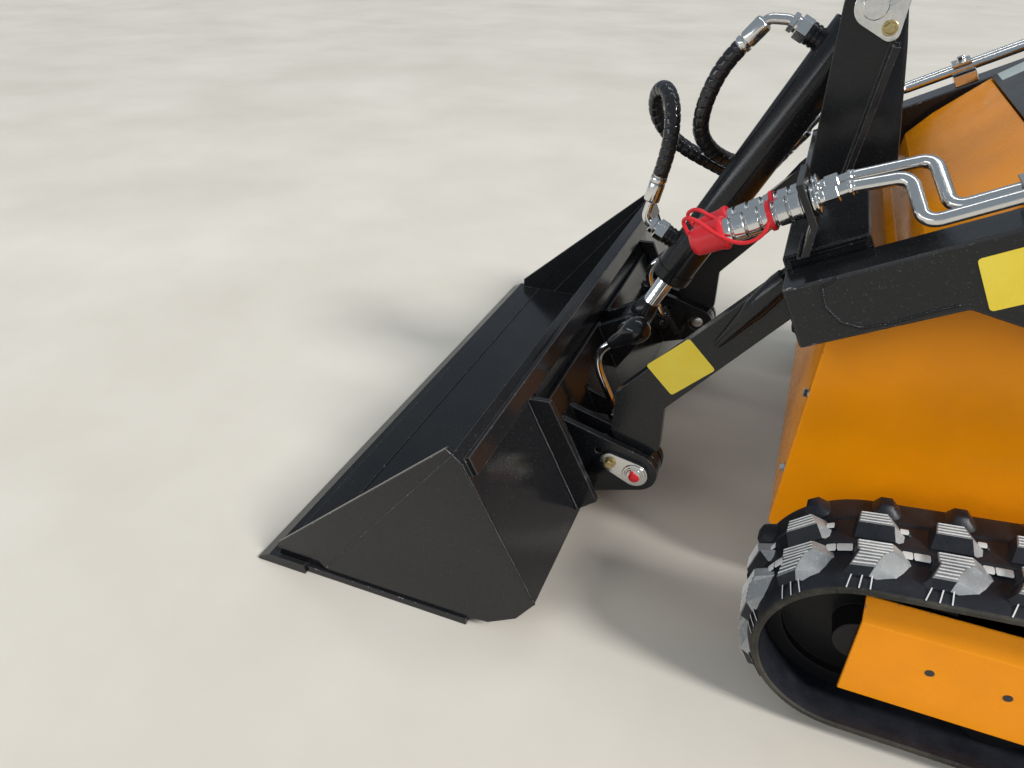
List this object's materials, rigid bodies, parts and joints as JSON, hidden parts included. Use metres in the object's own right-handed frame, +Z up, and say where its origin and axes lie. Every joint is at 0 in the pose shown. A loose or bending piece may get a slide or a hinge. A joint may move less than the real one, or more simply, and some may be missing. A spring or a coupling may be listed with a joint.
{
  "type": "mini track loader",
  "caption": "Compact loader on two rubber tracks, with lift arms, a tilting bucket, hydraulic cylinders, an opening hood and a folding step at the rear.",
  "frame": {"origin": "on the ground, in the middle of the machine's length and width", "axes": "+X forward to the bucket, +Y to the machine's left, +Z up"},
  "size_m": [2.28, 1.1, 1.1999],
  "materials": {
    "black_paint": "gloss",
    "yellow_paint": "semi-gloss",
    "grey_paint": "satin",
    "edge_steel": "worn",
    "zinc": "zinc plated",
    "chrome": "polished",
    "track_rubber": "matte",
    "hose_rubber": "satin",
    "cast_black": "painted",
    "engine_iron": "matte",
    "radiator_alloy": "satin",
    "console_plastic": "matte",
    "red_plastic": "satin"
  },
  "bodies": {
    "chassis": {"body": "yellow_paint", "engine": "engine_iron", "radiator": "radiator_alloy", "rear_grille": "grey_paint", "upright_left": "yellow_paint", "upright_right": "yellow_paint", "pivot_pins": "zinc", "console": "console_plastic", "levers": "console_plastic", "hand_rail": "black_paint", "step_bracket": "black_paint", "track_frame_left": "yellow_paint", "track_frame_right": "yellow_paint", "track_left": "track_rubber", "track_right": "track_rubber", "idlers": "cast_black", "rollers": "cast_black", "sprockets": "cast_black"},
    "hood": {"hood": "grey_paint"},
    "step": {"step": "black_paint"},
    "lift_arms": {"arm_left": "black_paint", "arm_right": "black_paint", "legs": "black_paint", "cross_member": "black_paint", "tower": "black_paint", "tower_pin": "zinc", "lift_eye_pins": "zinc", "coupler_plate": "black_paint", "couplers": "zinc", "coupler_caps": "red_plastic", "arm_tubes": "zinc", "tube_clamps": "zinc"},
    "attachment": {"attach_frame": "black_paint", "attach_pins": "zinc", "bucket": "black_paint", "cutting_edge": "edge_steel", "lock_levers": "chrome", "wear_plate": "edge_steel"},
    "tilt_barrel": {"tilt_barrel": "black_paint", "hose_elbows": "zinc", "hose_top": "hose_rubber", "hose_low": "hose_rubber"},
    "tilt_rod": {"tilt_rod": "chrome"},
    "lift_barrels": {"lift_barrels": "black_paint"},
    "lift_rods": {"lift_rods": "chrome"}
  },
  "joints": [
    {"name": "lift", "type": "hinge", "parent": "chassis", "child": "lift_arms", "pos_m": [-0.74003, 0, 1.07512], "axis": [0, -1, 0], "range_deg": [0, 60]},
    {"name": "bucket_tilt", "type": "hinge", "parent": "lift_arms", "child": "attachment", "pos_m": [0.606, 0, 0.147], "axis": [0, 1, 0], "range_deg": [-25, 65]},
    {"name": "hood_hinge", "type": "hinge", "parent": "chassis", "child": "hood", "pos_m": [-0.421, 0, 0.918], "axis": [0, -1, 0], "range_deg": [0, 50]},
    {"name": "step_hinge", "type": "hinge", "parent": "chassis", "child": "step", "pos_m": [-0.822, 0, 0.205], "axis": [0, 1, 0], "range_deg": [0, 85]},
    {"name": "lift_barrel_swing", "type": "hinge", "parent": "chassis", "child": "lift_barrels", "pos_m": [-0.71, 0, 0.74], "axis": [0, -1, 0], "range_deg": [-1, 60]},
    {"name": "lift_rod_slide", "type": "slide", "parent": "lift_barrels", "child": "lift_rods", "axis": [0.9639, 0, -0.2664], "range_m": [-0.002, 0.337]},
    {"name": "tilt_barrel_swing", "type": "hinge", "parent": "lift_arms", "child": "tilt_barrel", "pos_m": [0.418, 0, 0.778], "axis": [0, 1, 0], "range_deg": [-2, 1.5], "deforming": ["hose_top", "hose_low"]},
    {"name": "tilt_rod_slide", "type": "slide", "parent": "tilt_barrel", "child": "tilt_rod", "axis": [0.4553, 0, -0.8903], "range_m": [-0.055, 0.14]}
  ],
  "couplings": [
    {"joint": "lift_barrel_swing", "follows": "lift", "ratio": 0.98},
    {"joint": "lift_rod_slide", "follows": "lift", "m_per_rad": 0.32},
    {"joint": "tilt_barrel_swing", "follows": "bucket_tilt", "ratio": -0.02},
    {"joint": "tilt_rod_slide", "follows": "bucket_tilt", "m_per_rad": 0.12}
  ]
}
